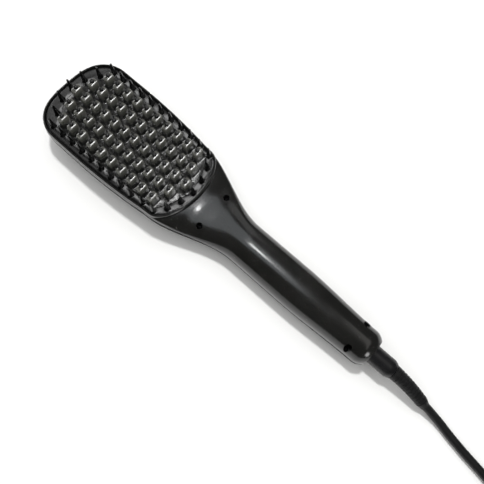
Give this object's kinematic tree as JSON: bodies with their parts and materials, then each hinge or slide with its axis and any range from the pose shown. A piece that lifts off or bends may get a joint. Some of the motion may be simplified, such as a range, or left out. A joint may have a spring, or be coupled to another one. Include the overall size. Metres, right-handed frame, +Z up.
{
  "type": "heated styling brush",
  "caption": "Corded hot brush with a ceramic bristle plate, a ring of cool bristles, a paddle head, a round handle with rear buttons and display, and a cord swivel.",
  "frame": {"origin": "centre of the brush's box without its free cord, on the surface that it lies on", "axes": "+X along the brush towards the tip of the head, +Z up the way the bristles point, +Y to the left seen from the handle"},
  "size_m": [0.4594, 0.1152, 0.0382],
  "materials": {
    "housing": "black, high gloss, moulded",
    "heated_plate": "dark grey ceramic coating, semi-gloss",
    "bristle_nylon": "black heat-resistant nylon, slight sheen",
    "button_plastic": "black, fine satin",
    "swivel_plastic": "black, satin, moulded",
    "cord_rubber": "black, satin",
    "tie_plastic": "black, woven look",
    "pin_metal": "nickel plated",
    "steel": "zinc plated",
    "brass": "plain",
    "heater_ceramic": "off-white ceramic, matte",
    "mica": "beige mica board, matte",
    "circuit_board": "green solder mask",
    "component_blue": "blue moulded case",
    "component_black": "black moulded case",
    "lead_insulation": "red-brown silicone insulation",
    "smoked_lens": "smoked clear, polished"
  },
  "bodies": {
    "housing": {"front_shell": "housing", "rear_shell": "housing", "heating_plate": "heated_plate", "cool_bristle_ring": "bristle_nylon", "tip_comb_1": "bristle_nylon", "tip_comb_2": "bristle_nylon", "tip_comb_3": "bristle_nylon", "tip_comb_4": "bristle_nylon", "tip_comb_5": "bristle_nylon", "heater_strip_left": "heater_ceramic", "heater_strip_right": "heater_ceramic", "clamp_plate": "steel", "insulation_pad": "mica", "clamp_screw_1": "steel", "clamp_screw_2": "steel", "clamp_screw_3": "steel", "clamp_screw_4": "steel", "temperature_sensor": "heater_ceramic", "thermal_fuse": "steel", "power_switch": "component_black", "minus_switch": "component_black", "plus_switch": "component_black", "display_lens": "smoked_lens", "display_module": "component_blue", "main_board": "circuit_board", "mains_capacitor": "component_blue", "power_relay": "component_blue", "triac": "component_black", "terminal_block": "circuit_board", "heater_lead_left": "lead_insulation", "heater_lead_right": "lead_insulation", "sensor_lead": "lead_insulation", "fuse_lead": "lead_insulation", "supply_lead_left": "lead_insulation", "supply_lead_right": "lead_insulation", "shell_screw_neck_left": "steel", "shell_screw_neck_right": "steel", "shell_screw_end_left": "steel", "shell_screw_end_right": "steel", "contact_leaf_1": "brass", "contact_leaf_2": "brass", "contact_block": "component_black", "power_cord": "cord_rubber", "cord_coil": "cord_rubber", "cord_tie": "tie_plastic", "plug_body": "cord_rubber", "plug_pin_1": "pin_metal", "plug_pin_2": "pin_metal"},
    "power_button": {"power_button": "button_plastic"},
    "minus_button": {"minus_button": "button_plastic"},
    "plus_button": {"plus_button": "button_plastic"},
    "cord_swivel": {"swivel_barrel": "swivel_plastic", "slip_ring_1": "brass", "slip_ring_2": "brass", "strain_relief": "cord_rubber"}
  },
  "joints": [
    {"name": "power_press", "type": "slide", "parent": "housing", "child": "power_button", "axis": [0, 0, 1], "range_m": [0, 0.0005], "stiffness_N_per_m": 2000},
    {"name": "minus_press", "type": "slide", "parent": "housing", "child": "minus_button", "axis": [0, 0, 1], "range_m": [0, 0.0005], "stiffness_N_per_m": 2000},
    {"name": "plus_press", "type": "slide", "parent": "housing", "child": "plus_button", "axis": [0, 0, 1], "range_m": [0, 0.0005], "stiffness_N_per_m": 2000},
    {"name": "cord_turn", "type": "hinge", "parent": "housing", "child": "cord_swivel", "pos_m": [-0.1141, 0, 0.0145], "axis": [-1, 0, 0], "continuous": true}
  ]
}
